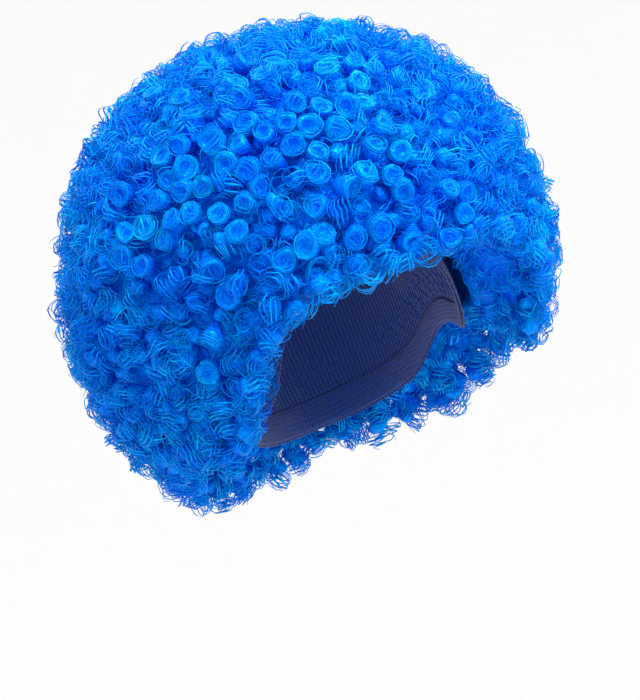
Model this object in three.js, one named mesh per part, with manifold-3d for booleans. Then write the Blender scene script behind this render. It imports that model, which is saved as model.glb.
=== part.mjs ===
import * as THREE from "three";
import { mergeVertices } from "three/addons/utils/BufferGeometryUtils.js";
import Module from "manifold-3d";

// A round, curly clown wig, upright as it is worn: a knitted cap that takes the head, an elastic
// band inside its edge, and rings of weft sewn round the cap, whose locks reach out to a ball.
// Millimetres, +Z up. The wearer looks along -Y, and +X is the wearer's left.
// The origin is where the top of the head touches the inside of the cap.

// The head's room inside the cap
const HEAD_WIDTH = 156;
const HEAD_LENGTH = 198;
const CROWN_HEIGHT = 96; // from the widest level up to the top of the head
const NAPE_REACH = 125; // how slowly the cap narrows below the widest level

// Walls and clearances
const CAP_WALL = 1.6;
const BAND_WALL = 1.5;
const BAND_HEIGHT = 14;
const BAND_CLEARANCE = 0.3; // from the cap's inside
const WEFT_WALL = 1.8;
const WEFT_HEIGHT = 9;
const WEFT_CLEARANCE = 0.5; // from the cap's outside

// The hair
const HAIR_RADIUS = 162; // from the middle of the ball to its side
const HAIR_STRETCH = 1.04; // the ball is this much longer, front to back
const HAIR_CENTRE_DROP = 58; // from the top of the head down to the middle of the ball
const WEFT_ROWS = 8;
const CROWN_ROOM = 0.5; // of the crown's tuft, as a share of a ring's room
const LOCK_WIDTH = 47; // of one lock, measured round the ball
const LOCK_GAP = 4; // between neighbouring locks
const LOCK_ROOT = 0.6; // from the weft's inside out to where a lock begins
const FEWEST_LOCKS = 5; // in a ring
const LOCK_UNEVENNESS = 0.04; // the shortest locks are this share shorter
const LOCK_TWIST = 150; // degrees, from the root to the end
const LOCK_SQUARENESS = 0.45; // 1 gives plain six-sided locks, and less fills their corners

// The cap's edge, which the hairline follows. The azimuth runs from the face (0) over the ear (90)
// to the nape (180), and the polar angle runs down from straight up, both about the ball's middle.
const HAIRLINE = [
  { azimuth: 0, polar: 101 },
  { azimuth: 24, polar: 102 },
  { azimuth: 38, polar: 109 }, // temple
  { azimuth: 47, polar: 119 },
  { azimuth: 56, polar: 130 },
  { azimuth: 66, polar: 134 }, // sideburn
  { azimuth: 90, polar: 131 }, // over the ear
  { azimuth: 106, polar: 134 },
  { azimuth: 122, polar: 141 },
  { azimuth: 150, polar: 142 }, // nape
  { azimuth: 180, polar: 141 },
];

// The ball's outline from top to bottom, in front of the ears and behind them, as shares of its
// radius: it is flat on top and fullest low at the back
const BALL = [
  { polar: 0, front: 0.98, back: 0.98 },
  { polar: 25, front: 1.0, back: 1.0 },
  { polar: 50, front: 1.03, back: 1.0 },
  { polar: 72, front: 1.03, back: 1.0 },
  { polar: 92, front: 1.02, back: 1.03 },
  { polar: 115, front: 1.0, back: 1.07 },
  { polar: 127, front: 0.97, back: 1.08 },
  { polar: 143, front: 0.88, back: 1.07 },
];
const FRONT_ENDS = 50; // azimuths between which the front's outline goes over to the back's
const BACK_BEGINS = 130;

// One lock from its root on the weft to its rounded end, as shares of its length and half width
const LOCK = [
  { along: 0, width: 0 },
  { along: 0, width: 0.3 },
  { along: 0.74, width: 1 },
  { along: 0.93, width: 0.7 },
  { along: 1, width: 0 },
];
const LOCK_SIDES = 6;
const LOCK_LEAN = 0.25; // how far a lock's end may stray, as a share of its half width

const CAP_STATIONS = 40; // round the cap
const CROWN_STATIONS = 10; // round the crown's patch
const CAP_LEVELS = 7; // from its top to the band
const LOW_RINGS = 0.8; // from this share down, the rings follow the dips of the hairline closely
const SEAM = 1e-4; // points nearer than this are one
const NET_BLUE = 0x0a3fa8;
const BAND_BLUE = 0x0b2f86;
const HAIR_BLUE = 0x0a74f0;

const DEGREE = Math.PI / 180;
const ballMiddle = new THREE.Vector3(0, 0, -HAIR_CENTRE_DROP);
const headMiddle = new THREE.Vector3(0, 0, -CROWN_HEIGHT);

// A smooth curve through a table's rows: one column as a function of another
function through(table, from, to, at) {
  const last = table.length - 1;
  const x = THREE.MathUtils.clamp(at, table[0][from], table[last][from]);
  let i = 0;
  while (i < last - 1 && x > table[i + 1][from]) i++;
  const slope = (k) => {
    const a = table[Math.max(k - 1, 0)];
    const b = table[Math.min(k + 1, last)];
    return k === 0 || k === last ? 0 : (b[to] - a[to]) / (b[from] - a[from]);
  };
  const span = table[i + 1][from] - table[i][from];
  const t = (x - table[i][from]) / span;
  const rise = t * t * (3 - 2 * t);
  return (
    table[i][to] * (1 - rise) +
    table[i + 1][to] * rise +
    slope(i) * span * t * (1 - t) ** 2 -
    slope(i + 1) * span * t * t * (1 - t)
  );
}

// How far an azimuth is turned from the face, from 0 to 180, alike on both sides
const fromFace = (azimuth) =>
  Math.abs(THREE.MathUtils.euclideanModulo(azimuth + 180, 360) - 180);

// The polar angle of the cap's edge at an azimuth
const edgePolar = (azimuth) => through(HAIRLINE, "azimuth", "polar", fromFace(azimuth));

// The unit vector at an azimuth and a polar angle
function direction(azimuth, polar) {
  const side = Math.sin(polar * DEGREE);
  return new THREE.Vector3(
    side * Math.sin(azimuth * DEGREE),
    -side * Math.cos(azimuth * DEGREE),
    Math.cos(polar * DEGREE),
  );
}

// How far the head's surface, grown by an offset, lies from the ball's middle in a direction:
// an ellipsoid above the head's widest level, and a taller one below it
function headDistance(way, offset) {
  const reach = (height) => {
    const size = new THREE.Vector3(HEAD_WIDTH / 2, HEAD_LENGTH / 2, height).addScalar(offset);
    const start = ballMiddle.clone().sub(headMiddle).divide(size);
    const step = way.clone().divide(size);
    const a = step.dot(step);
    const b = start.dot(step);
    const c = start.dot(start) - 1;
    return (-b + Math.sqrt(b * b - a * c)) / a;
  };
  const above = reach(CROWN_HEIGHT);
  const level = ballMiddle.z + above * way.z;
  return level >= headMiddle.z ? above : reach(NAPE_REACH);
}

// How far the ball of hair reaches from its middle at an azimuth and a polar angle
function hairDistance(azimuth, polar) {
  const front = through(BALL, "polar", "front", polar);
  const back = through(BALL, "polar", "back", polar);
  const behind = THREE.MathUtils.smoothstep(fromFace(azimuth), FRONT_ENDS, BACK_BEGINS);
  const forth = Math.cos(azimuth * DEGREE) * Math.sin(polar * DEGREE);
  const longer = 1 + (HAIR_STRETCH - 1) * forth * forth;
  return HAIR_RADIUS * THREE.MathUtils.lerp(front, back, behind) * longer;
}

// Moves each point of a geometry, which is then one closed solid once its seams are merged
function shaped(geometry, place) {
  const at = geometry.getAttribute("position");
  const point = new THREE.Vector3();
  for (let i = 0; i < at.count; i++) {
    point.fromBufferAttribute(at, i);
    place(point);
    at.setXYZ(i, point.x, point.y, point.z);
  }
  return geometry;
}

const wasm = await Module();
wasm.setup();

// A three.js geometry as a manifold-3d solid, with its faces turned to point out
function solidOf(geometry) {
  geometry.deleteAttribute("normal");
  geometry.deleteAttribute("uv");
  const merged = mergeVertices(geometry, SEAM);
  const vertProperties = merged.getAttribute("position").array;
  const triVerts = new Uint32Array(merged.index.array);
  const solid = new wasm.Manifold(new wasm.Mesh({ numProp: 3, vertProperties, triVerts }));
  if (solid.volume() > 0) return solid;
  return new wasm.Manifold(
    new wasm.Mesh({ numProp: 3, vertProperties, triVerts: triVerts.reverse() }),
  );
}

// A manifold-3d solid as a named three.js mesh
function meshOf(name, solid, material) {
  const { vertProperties, triVerts } = solid.getMesh();
  const geometry = new THREE.BufferGeometry();
  geometry.setAttribute("position", new THREE.BufferAttribute(vertProperties, 3));
  geometry.setIndex(new THREE.BufferAttribute(triVerts, 1));
  geometry.computeVertexNormals();
  const mesh = new THREE.Mesh(geometry, material);
  mesh.name = name;
  return mesh;
}

// A point on the ball's middle's ray at an azimuth and a polar angle
function onRay(azimuth, polar, distanceOf) {
  const way = direction(azimuth, polar);
  return way.clone().multiplyScalar(distanceOf(way)).add(ballMiddle);
}

// Places between the crown (0) and the edge (1), by the mean way down the head
const meanEdge = HAIRLINE.reduce((sum, row) => sum + row.polar, 0) / HAIRLINE.length;
const crownToEdge = (HEAD_LENGTH / 2) * meanEdge * DEGREE;
const bandShare = 1 - BAND_HEIGHT / crownToEdge;

// A shell between two offsets from the head. Its profile gives shares of the way from the crown to
// the edge as x and offsets as y, and it is turned round the head.
function shell(profile, stations) {
  const turned = new THREE.LatheGeometry(profile, stations);
  return shaped(turned, (point) => {
    const share = Math.hypot(point.x, point.z);
    const azimuth = Math.atan2(point.x, point.z) / DEGREE;
    const offset = point.y;
    const polar = share * edgePolar(azimuth);
    point.copy(onRay(azimuth, polar, (way) => headDistance(way, offset)));
  });
}

// The cap: a thin knitted wall over the head, open at the face and the neck
function cap() {
  const shares = [];
  for (let i = 0; i <= CAP_LEVELS; i++) shares.push((bandShare * i) / CAP_LEVELS);
  shares.push(1);
  const inside = shares.map((share) => new THREE.Vector2(share, 0));
  const outside = shares.map((share) => new THREE.Vector2(share, CAP_WALL)).reverse();
  return solidOf(shell([...inside, ...outside], CAP_STATIONS));
}

// The elastic band: a strip round the inside of the cap's edge
function band() {
  const outer = -BAND_CLEARANCE;
  const inner = outer - BAND_WALL;
  const corners = [
    new THREE.Vector2(bandShare, outer),
    new THREE.Vector2(1, outer),
    new THREE.Vector2(1, inner),
    new THREE.Vector2(bandShare, inner),
    new THREE.Vector2(bandShare, outer),
  ];
  return solidOf(shell(corners, CAP_STATIONS));
}

// Where each ring of weft lies between the crown and the edge, after the crown's tuft
const ringShare = (row) => row / (WEFT_ROWS + CROWN_ROOM);
const weftInside = CAP_WALL + WEFT_CLEARANCE;
const halfStrip = WEFT_HEIGHT / 2 / crownToEdge;
const lockGap = LOCK_GAP / HAIR_RADIUS / DEGREE; // as an angle

function locksInRow(row) {
  const round = 2 * Math.PI * HAIR_RADIUS * Math.sin(ringShare(row) * meanEdge * DEGREE);
  return Math.max(FEWEST_LOCKS, Math.round(round / LOCK_WIDTH));
}

// A settled number from -1 to 1 for each lock, so that no two neighbours are alike
const chance = (row, number, which) =>
  2 * THREE.MathUtils.seededRandom(1000 * row + 10 * number + which) - 1;

// One lock, from its root inside a weft to its rounded end, round a ray from the ball's middle.
// sector gives the azimuth and polar angle of a point of its section, so a lock stays in its own
// sector however long it is.
function lock(row, number, sector) {
  const profile = LOCK.map((ring) => new THREE.Vector2(ring.width, ring.along));
  const turned = new THREE.LatheGeometry(profile, LOCK_SIDES, Math.PI / LOCK_SIDES);
  const widest = LOCK.reduce((a, b) => (b.width > a.width ? b : a)).along;
  const shorter = 1 - LOCK_UNEVENNESS * Math.abs(chance(row, number, 1));
  const lean = LOCK_LEAN * chance(row, number, 2);
  const rise = LOCK_LEAN * chance(row, number, 3);
  return solidOf(
    shaped(turned, (point) => {
      const along = point.y;
      const width = Math.hypot(point.x, point.z);
      const turn = Math.atan2(point.x, point.z) + LOCK_TWIST * DEGREE * (along - widest);
      const across = Math.sin(turn);
      const square = Math.sign(across) * Math.abs(across) ** LOCK_SQUARENESS;
      const bend = along ** 2 * (1 - width);
      const { azimuth, polar } = sector(
        width * square + lean * bend,
        width * Math.cos(turn) + rise * bend,
      );
      point.copy(
        onRay(azimuth, polar, (way) => {
          const root = headDistance(way, weftInside + LOCK_ROOT);
          const end = hairDistance(azimuth, polar) * shorter;
          return THREE.MathUtils.lerp(root, end, along);
        }),
      );
    }),
  );
}

// Half of the room for a lock between two rings, as a share of the way from crown to edge
const halfLockRoom = (ringShare(1) - lockGap / meanEdge) / 2;
const flatToCorner = Math.cos(Math.PI / LOCK_SIDES);

// One ring of weft: a sewn strip on the cap with its locks fused to it
function weft(row) {
  const share = ringShare(row);
  const count = locksInRow(row);
  const steps = share > LOW_RINGS ? 3 : 2; // of the strip for each lock
  const strip = shell(
    [
      new THREE.Vector2(share - halfStrip, weftInside),
      new THREE.Vector2(share + halfStrip, weftInside),
      new THREE.Vector2(share + halfStrip, weftInside + WEFT_WALL),
      new THREE.Vector2(share - halfStrip, weftInside + WEFT_WALL),
      new THREE.Vector2(share - halfStrip, weftInside),
    ],
    steps * count,
  );
  const pitch = 360 / count;
  const halfPitch = pitch / 2 - lockGap / 2 / Math.sin(share * meanEdge * DEGREE);
  const solids = [solidOf(strip)];
  for (let number = 0; number < count; number++) {
    const middle = pitch * (number + ((row % 2) + 0.5) / steps); // over the middle of a step
    const sector = (across, down) => {
      const azimuth = middle + halfPitch * across;
      const level = share + (halfLockRoom / flatToCorner) * down;
      return { azimuth, polar: edgePolar(azimuth) * level };
    };
    solids.push(lock(row, number, sector));
  }
  return wasm.Manifold.union(solids);
}

// The crown's tuft: a round patch of weft on top of the cap with one lock fused to it
function crownTuft() {
  const edge = ringShare(1) * CROWN_ROOM;
  const patch = [
    new THREE.Vector2(0, weftInside),
    new THREE.Vector2(edge, weftInside),
    new THREE.Vector2(edge, weftInside + WEFT_WALL),
    new THREE.Vector2(0, weftInside + WEFT_WALL),
  ];
  const sector = (across, down) => {
    const azimuth = Math.atan2(across, down) / DEGREE;
    const level = halfLockRoom * Math.min(Math.hypot(across, down), 1);
    return { azimuth, polar: edgePolar(azimuth) * level };
  };
  return solidOf(shell(patch, CROWN_STATIONS)).add(lock(0, 0, sector));
}

const net = new THREE.MeshStandardMaterial({ color: NET_BLUE, roughness: 0.9 });
const elastic = new THREE.MeshStandardMaterial({ color: BAND_BLUE, roughness: 0.8 });
const hair = new THREE.MeshStandardMaterial({ color: HAIR_BLUE, roughness: 0.45 });

const wig = new THREE.Group();
wig.add(meshOf("cap", cap(), net));
wig.add(meshOf("edge_band", band(), elastic));
wig.add(meshOf("crown_tuft", crownTuft(), hair));
for (let row = 1; row <= WEFT_ROWS; row++) wig.add(meshOf(`weft_${row}`, weft(row), hair));

export default wig;
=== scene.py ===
import math

import bmesh
import bpy
import numpy as np
from mathutils import Matrix, Vector
from mathutils.bvhtree import BVHTree


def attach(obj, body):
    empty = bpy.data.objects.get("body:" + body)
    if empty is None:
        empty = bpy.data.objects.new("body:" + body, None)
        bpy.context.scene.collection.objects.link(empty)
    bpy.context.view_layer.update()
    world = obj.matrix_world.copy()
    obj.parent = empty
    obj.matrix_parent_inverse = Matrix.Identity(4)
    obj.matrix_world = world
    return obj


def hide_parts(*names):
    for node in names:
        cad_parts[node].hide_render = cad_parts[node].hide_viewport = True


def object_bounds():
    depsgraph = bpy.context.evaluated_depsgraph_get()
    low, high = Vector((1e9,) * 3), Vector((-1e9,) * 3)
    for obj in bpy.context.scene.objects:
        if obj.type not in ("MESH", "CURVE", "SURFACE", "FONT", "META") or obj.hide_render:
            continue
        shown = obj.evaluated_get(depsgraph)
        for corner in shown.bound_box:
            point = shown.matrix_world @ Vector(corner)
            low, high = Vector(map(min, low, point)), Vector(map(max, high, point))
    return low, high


# A round, curly clown wig, upright as it is worn, in metres. Its face opening looks along -Y.
# It is dressed from the inside out, as it is sewn: cap, net, edge band and hair.
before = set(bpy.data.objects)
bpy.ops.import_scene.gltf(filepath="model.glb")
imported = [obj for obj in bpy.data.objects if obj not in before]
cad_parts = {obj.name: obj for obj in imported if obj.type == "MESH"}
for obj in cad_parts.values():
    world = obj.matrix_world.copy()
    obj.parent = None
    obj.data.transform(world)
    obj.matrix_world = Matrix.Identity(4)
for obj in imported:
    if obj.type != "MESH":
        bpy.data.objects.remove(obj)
cad_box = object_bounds()
MM = 0.001

# The cap: a knitted shell that the hair is sewn to, in a dark blue yarn that hides under it.
# It is knitted round, so its ribs run down from the crown, and its edge is turned in.
BALL_MIDDLE = Vector((0, 0, -58 * MM))  # the point that all the hair stands out from
RIM_STEP = 9  # degrees between the places where the cap's edge is read
RIM_NEAR = 2  # degrees to either side of such a place that count as there
MAP_ROUND = 0.5  # metres of the cap's map in a full turn
MAP_DOWN = 0.3  # metres of it from straight up to straight down


def around(points):
    """Azimuth from the face opening and polar angle from straight up, in degrees, and distance."""
    out = np.asarray(points, float) - np.array(BALL_MIDDLE)
    distance = np.linalg.norm(out, axis=1)
    azimuth = np.degrees(np.arctan2(out[:, 0], -out[:, 1]))
    polar = np.degrees(np.arccos(out[:, 2] / distance))
    return azimuth, polar, distance


def vertices_of(*nodes):
    """The corners of some of the solids, one row each."""
    return np.array([v.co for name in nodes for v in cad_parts[name].data.vertices])


def direction(azimuth, polar):
    """Unit vectors out from the ball's middle, one row each."""
    a, p = np.radians(azimuth), np.radians(polar)
    return np.stack([np.sin(p) * np.sin(a), -np.sin(p) * np.cos(a), np.cos(p)], axis=-1)


cap_azimuth, cap_polar, _ = around(vertices_of("cap"))
rim_azimuths = np.arange(-180, 180, RIM_STEP)
from_rim = np.abs((cap_azimuth[None, :] - rim_azimuths[:, None] + 180) % 360 - 180)
rim_polars = np.where(from_rim < RIM_NEAR, cap_polar[None, :], 0).max(axis=1)


def edge_polar(azimuth):
    """The polar angle of the cap's edge, which the hairline follows."""
    return np.interp(azimuth, rim_azimuths, rim_polars, period=360)


def finished(piece, slot, *nodes):
    """Rides a finished piece on the wig and hides the plain solids that it stands for. Its slot is not used.
    """
    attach(piece, "root")
    if nodes:
        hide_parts(*nodes)
    return piece


def object_of(name, points, faces=(), edges=()):
    """A mesh of points with faces or edges, as an object in the scene."""
    mesh = bpy.data.meshes.new(name)
    mesh.from_pydata([tuple(p) for p in points], [tuple(e) for e in edges], [tuple(f) for f in faces])
    mesh.update()
    piece = bpy.data.objects.new(name, mesh)
    bpy.context.scene.collection.objects.link(piece)
    return piece


def soft_copy(node, name, levels):
    """A node's solid with its triangles joined and rounded off."""
    shape = bmesh.new()
    shape.from_mesh(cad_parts[node].data)
    bmesh.ops.remove_doubles(shape, verts=shape.verts, dist=0.02 * MM)
    bmesh.ops.join_triangles(
        shape, faces=shape.faces, angle_face_threshold=0.7, angle_shape_threshold=1.2
    )
    bmesh.ops.recalc_face_normals(shape, faces=shape.faces)
    mesh = bpy.data.meshes.new(name)
    shape.to_mesh(mesh)
    shape.free()
    mesh.shade_smooth()
    piece = bpy.data.objects.new(name, mesh)
    bpy.context.scene.collection.objects.link(piece)
    rounded = piece.modifiers.new("rounded", "SUBSURF")
    rounded.levels = levels
    rounded.render_levels = levels
    return applied(piece)


def applied(piece):
    """The piece with its modifiers made plain mesh."""
    bpy.context.view_layer.update()
    evaluated = piece.evaluated_get(bpy.context.evaluated_depsgraph_get())
    mesh = bpy.data.meshes.new_from_object(evaluated)
    mesh.name = piece.name
    old = piece.data
    piece.modifiers.clear()
    piece.data = mesh
    bpy.data.meshes.remove(old)
    return piece


def map_around(piece, name):
    """A UV map that runs round the cap and down from its crown, both in metres."""
    mesh = piece.data
    azimuth, polar, _ = around([v.co for v in mesh.vertices])
    layer = mesh.uv_layers.new(name=name)
    for face in mesh.polygons:
        first = azimuth[face.vertices[0]]
        for corner, vertex in zip(face.loop_indices, face.vertices):
            turn = azimuth[vertex]
            turn += 360 * round((first - turn) / 360)
            layer.data[corner].uv = (turn / 360 * MAP_ROUND, polar[vertex] / 180 * MAP_DOWN)


def new_material(name):
    """A material with its nodes, its links and its surface shader."""
    material = bpy.data.materials.new(name)
    material.use_nodes = True
    nodes = material.node_tree.nodes
    return material, nodes, material.node_tree.links, nodes["Principled BSDF"]


def knit_material(name, dark, light, wale, course, roughness):
    """Knitted yarn: columns of stitches, wale wide and course high, in metres of the piece's map."""
    material, nodes, links, surface = new_material(name)
    place = nodes.new("ShaderNodeUVMap")
    place.uv_map = "knit"
    split = nodes.new("ShaderNodeSeparateXYZ")
    links.new(place.outputs["UV"], split.inputs[0])

    def wave(value, length):
        scaled = nodes.new("ShaderNodeMath")
        scaled.operation = "MULTIPLY"
        scaled.inputs[1].default_value = 2 * math.pi / length
        links.new(value, scaled.inputs[0])
        sine = nodes.new("ShaderNodeMath")
        sine.operation = "SINE"
        links.new(scaled.outputs[0], sine.inputs[0])
        return sine.outputs[0]

    columns = wave(split.outputs["X"], wale)
    slant = nodes.new("ShaderNodeMath")
    slant.operation = "MULTIPLY_ADD"
    slant.inputs[1].default_value = course * 0.22
    links.new(columns, slant.inputs[0])
    links.new(split.outputs["Y"], slant.inputs[2])
    rows = wave(slant.outputs[0], course)
    height = nodes.new("ShaderNodeMath")
    height.operation = "MULTIPLY_ADD"
    height.inputs[1].default_value = 0.6
    links.new(rows, height.inputs[0])
    links.new(columns, height.inputs[2])
    fuzz = nodes.new("ShaderNodeTexNoise")
    fuzz.inputs["Scale"].default_value = 900
    fuzz.inputs["Detail"].default_value = 3
    coordinates = nodes.new("ShaderNodeTexCoord")
    links.new(coordinates.outputs["Object"], fuzz.inputs["Vector"])
    rough_height = nodes.new("ShaderNodeMath")
    rough_height.operation = "ADD"
    links.new(height.outputs[0], rough_height.inputs[0])
    links.new(fuzz.outputs["Fac"], rough_height.inputs[1])
    # The yarn's colour follows the stitches' height: painted shade in the hollows between stitches, lighter
    # on their tops.
    shades = nodes.new("ShaderNodeValToRGB")
    shades.color_ramp.elements[0].position = 0.25
    shades.color_ramp.elements[0].color = (*dark, 1)
    shades.color_ramp.elements[1].position = 0.8
    shades.color_ramp.elements[1].color = (*light, 1)
    spread = nodes.new("ShaderNodeMapRange")
    spread.inputs["From Min"].default_value = -1.6
    spread.inputs["From Max"].default_value = 2.6
    links.new(rough_height.outputs[0], spread.inputs["Value"])
    links.new(spread.outputs["Result"], shades.inputs["Fac"])
    links.new(shades.outputs["Color"], surface.inputs["Base Color"])
    bump = nodes.new("ShaderNodeBump")
    bump.inputs["Strength"].default_value = 0.7
    bump.inputs["Distance"].default_value = 0.4 * MM
    links.new(rough_height.outputs[0], bump.inputs["Height"])
    links.new(bump.outputs["Normal"], surface.inputs["Normal"])
    surface.inputs["Roughness"].default_value = roughness
    surface.inputs["Sheen Weight"].default_value = 0.3
    surface.inputs["Sheen Roughness"].default_value = 0.5
    return material


cap = soft_copy("cap", "knitted_cap", levels=2)
map_around(cap, "knit")
cap.data.materials.append(
    knit_material("cap yarn", (0.0, 0.008, 0.09), (0.0, 0.05, 0.36), 2.4 * MM, 1.8 * MM, 0.85)
)
finished(cap, "cap_net", "cap")

# The net over the inside of the cap: two families of thin threads that cross in diamonds, from the
# crown's ring to the edge band. It keeps the knit from running and makes the inside smooth.
NET_LINES = 64  # in each family
NET_STEPS = 36
NET_TURN = 105  # degrees that a thread turns round the cap on its way down
NET_BEGINS = 0.1  # as a share of the way from the crown to the edge
NET_ENDS = 0.93
NET_THREAD = 0.75 * MM
NET_LIFT = 0.5 * MM  # of a thread's middle from the knit


def surface_under(node):
    """A search tree over a node's solid, to find where rays from the middle meet it."""
    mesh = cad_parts[node].data
    return BVHTree.FromPolygons([v.co for v in mesh.vertices], [p.vertices for p in mesh.polygons])


cap_tree = surface_under("cap")


def on_cap(azimuth, share, lift):
    """A point on the inside of the cap, lifted towards the middle."""
    way = Vector(direction(azimuth, share * float(edge_polar(azimuth))))
    _, _, _, distance = cap_tree.ray_cast(BALL_MIDDLE, way)
    return BALL_MIDDLE + way * (distance - lift)


def tree_of(name, inputs):
    """An empty node tree for a modifier: geometry in, geometry out and the named inputs."""
    tree = bpy.data.node_groups.new(name, "GeometryNodeTree")
    tree.interface.new_socket("Geometry", in_out="OUTPUT", socket_type="NodeSocketGeometry")
    tree.interface.new_socket("Geometry", in_out="INPUT", socket_type="NodeSocketGeometry")
    for label, (kind, value) in inputs.items():
        socket = tree.interface.new_socket(label, in_out="INPUT", socket_type="NodeSocket" + kind)
        if value is not None:
            socket.default_value = value
    return tree, tree.nodes.new("NodeGroupInput"), tree.nodes.new("NodeGroupOutput")


def add(tree, kind, inputs, **settings):
    """A node with its settings, and each input linked to a socket or set to a value."""
    made = tree.nodes.new(kind)
    for setting, value in settings.items():
        setattr(made, setting, value)
    for key, value in inputs.items():
        socket = made.inputs[key]
        if isinstance(value, bpy.types.NodeSocket):
            tree.links.new(value, socket)
        else:
            socket.default_value = value
    return made


def run_tree(piece, tree, **values):
    """Runs a tree on a piece and keeps its result as plain mesh."""
    modifier = piece.modifiers.new(tree.name, "NODES")
    modifier.node_group = tree
    sockets = {s.name: s.identifier for s in tree.interface.items_tree if s.in_out == "INPUT"}
    for label, value in values.items():
        modifier[sockets[label.replace("_", " ")]] = value
    return applied(piece)


def kept_as(tree, geometry, name, kind, value):
    """The geometry with a value kept at its points, under a name."""
    inputs = {"Geometry": geometry, "Name": name, "Value": value}
    return add(tree, "GeometryNodeStoreNamedAttribute", inputs, data_type=kind, domain="POINT").outputs[0]


def thread_tree():
    """Turns each line of edges into a round, tapering thread."""
    tree, given, result = tree_of(
        "thread",
        {
            "Thickness": ("Float", 0.5 * MM),
            "Sides": ("Int", 3),
            "Material": ("Material", None),
        },
    )
    line = add(tree, "GeometryNodeMeshToCurve", {"Mesh": given.outputs["Geometry"]})
    place = add(tree, "GeometryNodeSplineParameter", {})
    along = kept_as(tree, line.outputs[0], "along", "FLOAT", place.outputs["Factor"])
    section = add(
        tree, "GeometryNodeCurvePrimitiveCircle", {"Resolution": given.outputs["Sides"], "Radius": 0.5}
    )
    swept = add(
        tree,
        "GeometryNodeCurveToMesh",
        {
            "Curve": along,
            "Profile Curve": section.outputs[0],
            "Scale": given.outputs["Thickness"],
            "Fill Caps": True,
        },
    )
    smooth = add(tree, "GeometryNodeSetShadeSmooth", {"Geometry": swept.outputs[0]})
    painted = add(
        tree,
        "GeometryNodeSetMaterial",
        {"Geometry": smooth.outputs[0], "Material": given.outputs["Material"]},
    )
    real = add(tree, "GeometryNodeRealizeInstances", {"Geometry": painted.outputs[0]})
    tree.links.new(real.outputs[0], result.inputs[0])
    return tree


thread = thread_tree()


def lines_of(name, lines):
    """One object of edges, from several lines of points."""
    points, edges = [], []
    for line in lines:
        first = len(points)
        points += list(line)
        edges += [(first + i, first + i + 1) for i in range(len(line) - 1)]
    return object_of(name, points, edges=edges)


def yarn_material(name, color, roughness):
    """Spun thread: fine turns of fibre along it and a slightly uneven dye."""
    material, nodes, links, surface = new_material(name)
    coordinates = nodes.new("ShaderNodeTexCoord")
    fibres = nodes.new("ShaderNodeTexNoise")
    fibres.inputs["Scale"].default_value = 1500
    links.new(coordinates.outputs["Object"], fibres.inputs["Vector"])
    dye = nodes.new("ShaderNodeMix")
    dye.data_type = "RGBA"
    dye.inputs[6].default_value = (*[c * 0.55 for c in color], 1)
    dye.inputs[7].default_value = (*color, 1)
    links.new(fibres.outputs["Fac"], dye.inputs[0])
    links.new(dye.outputs[2], surface.inputs["Base Color"])
    bump = nodes.new("ShaderNodeBump")
    bump.inputs["Strength"].default_value = 0.4
    bump.inputs["Distance"].default_value = 0.1 * MM
    links.new(fibres.outputs["Fac"], bump.inputs["Height"])
    links.new(bump.outputs["Normal"], surface.inputs["Normal"])
    surface.inputs["Roughness"].default_value = roughness
    return material


net_lines = []
for family in (-1, 1):
    for k in range(NET_LINES):
        start = 360 * k / NET_LINES
        shares = np.linspace(NET_BEGINS, NET_ENDS, NET_STEPS)
        net_lines.append(
            [on_cap(start + family * NET_TURN * share, share, NET_LIFT) for share in shares]
        )
net = lines_of("inner_net", net_lines)
net_yarn = yarn_material("net thread", (0.0, 0.075, 0.5), 0.6)
net = run_tree(net, thread, Thickness=NET_THREAD, Sides=3, Material=net_yarn)
finished(net, "cap_net")

# The edge band: woven elastic, sewn inside the cap's edge, with ribs along it.
# It keeps the wig in place all round, at the brow, the sides and the nape.
band = soft_copy("edge_band", "elastic_band", levels=2)
map_around(band, "knit")
band.data.materials.append(
    knit_material("elastic", (0.0, 0.01, 0.12), (0.0, 0.06, 0.42), 1.5 * MM, 2.2 * MM, 0.7)
)
finished(band, "elastic", "edge_band")

# The ball of hair: how far it reaches is read from the solids' locks, so the curls keep their form.
# Each place is an azimuth and a share of the way from the crown to the cap's edge.
HAIR_NODES = ["crown_tuft"] + sorted(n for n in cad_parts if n.startswith("weft_"))
LOCK_REACH = 11  # degrees round a place within which a lock's end shows how far the hair reaches
EVENED = 12  # degrees over which the reach is evened out
REACH_STEP = 7.5  # degrees between the places where the reach is kept
REACH_LEVELS = 20
BEYOND_CAP = 0.14  # a distance from the middle that is outside the cap and inside the hair
ON_CAP = 0.98  # the share up to which a ray surely meets the cap
SKIN_STATIONS = 72
SKIN_LEVELS = 30
RIM_LEVELS = 6
CURLS_OFF_CAP = 8 * MM  # so that the lowest curls lie against the cap's outside and not through it

lock_azimuth, lock_polar, lock_distance = around(vertices_of(*HAIR_NODES))
lock_ways = direction(lock_azimuth, lock_polar)
sample_azimuths = np.arange(0, 360, REACH_STEP)
sample_shares = np.linspace(0, 1, REACH_LEVELS + 1)
sample_grid = np.array([(a, s) for s in sample_shares for a in sample_azimuths])
sample_ways = direction(sample_grid[:, 0], sample_grid[:, 1] * edge_polar(sample_grid[:, 0]))
near = sample_ways @ lock_ways.T > math.cos(math.radians(LOCK_REACH))
reach = np.where(near, lock_distance[None, :], 0).max(axis=1)
apart = np.arccos(np.clip(sample_ways @ sample_ways.T, -1, 1))
weight = np.exp(-((apart / math.radians(EVENED)) ** 2))
weight *= reach[None, :] > 0.1
reach = (weight * reach[None, :]).sum(axis=1) / weight.sum(axis=1)
reach = reach.reshape(len(sample_shares), len(sample_azimuths))


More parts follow.
